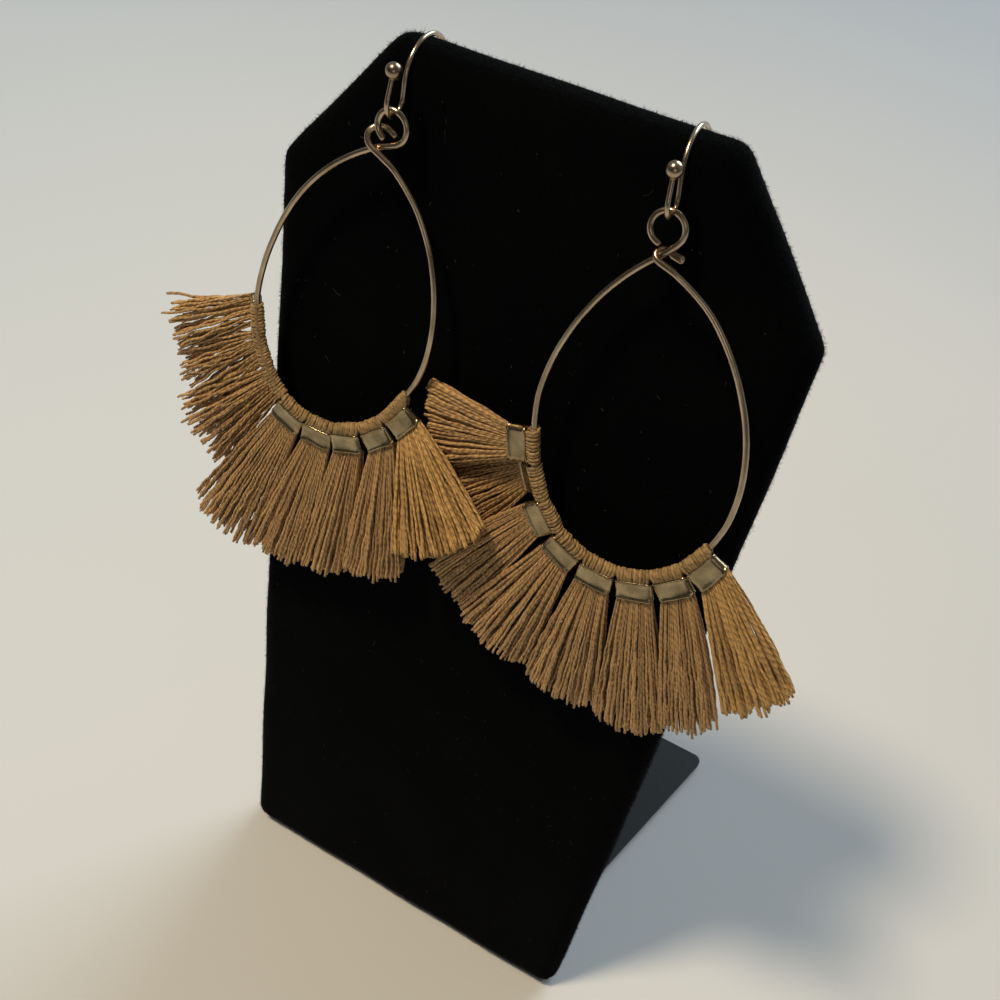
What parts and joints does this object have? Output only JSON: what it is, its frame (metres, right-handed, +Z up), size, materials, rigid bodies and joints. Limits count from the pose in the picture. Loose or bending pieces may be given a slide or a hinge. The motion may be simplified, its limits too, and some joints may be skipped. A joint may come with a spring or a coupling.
{
  "type": "pair of tassel earrings on display stand",
  "caption": "Pair of drop earrings for pierced ears: wire teardrop hoops fringed with thread tassels in folded metal clamps, hung by their ear wires over a leaning velvet display stand.",
  "frame": {"origin": "on the floor, at the middle of the whole object's width and depth seen from above", "axes": "+Z up, -Y the way the stand's velvet face looks, +X to the right of someone facing that face"},
  "size_m": [0.103, 0.0592, 0.1568],
  "materials": {
    "velvet": "black short-pile velvet over a padded board",
    "foot_sheet": "dark green-grey smooth sheet, matt",
    "wire_gold": "muted rose-gold plating, bright drawn wire",
    "clamp_gold": "antique gold plating, bright rims",
    "wrap_thread": "tan twisted thread wound side by side",
    "tassel_thread": "tan-gold twisted thread, slightly shiny"
  },
  "bodies": {
    "root": {"stand_board": "velvet", "stand_foot": "foot_sheet", "ear_hook_left": "wire_gold", "ear_hook_right": "wire_gold", "hoop_left": "wire_gold", "hoop_right": "wire_gold", "wrap_left": "wrap_thread", "wrap_right": "wrap_thread", "clamp_left_1": "clamp_gold", "clamp_left_2": "clamp_gold", "clamp_left_3": "clamp_gold", "clamp_left_4": "clamp_gold", "clamp_left_5": "clamp_gold", "clamp_left_6": "clamp_gold", "clamp_left_7": "clamp_gold", "clamp_left_8": "clamp_gold", "clamp_right_1": "clamp_gold", "clamp_right_2": "clamp_gold", "clamp_right_3": "clamp_gold", "clamp_right_4": "clamp_gold", "clamp_right_5": "clamp_gold", "clamp_right_6": "clamp_gold", "clamp_right_7": "clamp_gold", "clamp_right_8": "clamp_gold", "tassel_left_1": "tassel_thread", "tassel_left_2": "tassel_thread", "tassel_left_3": "tassel_thread", "tassel_left_4": "tassel_thread", "tassel_left_5": "tassel_thread", "tassel_left_6": "tassel_thread", "tassel_left_7": "tassel_thread", "tassel_left_8": "tassel_thread", "tassel_right_1": "tassel_thread", "tassel_right_2": "tassel_thread", "tassel_right_3": "tassel_thread", "tassel_right_4": "tassel_thread", "tassel_right_5": "tassel_thread", "tassel_right_6": "tassel_thread", "tassel_right_7": "tassel_thread", "tassel_right_8": "tassel_thread"}
  },
  "joints": []
}
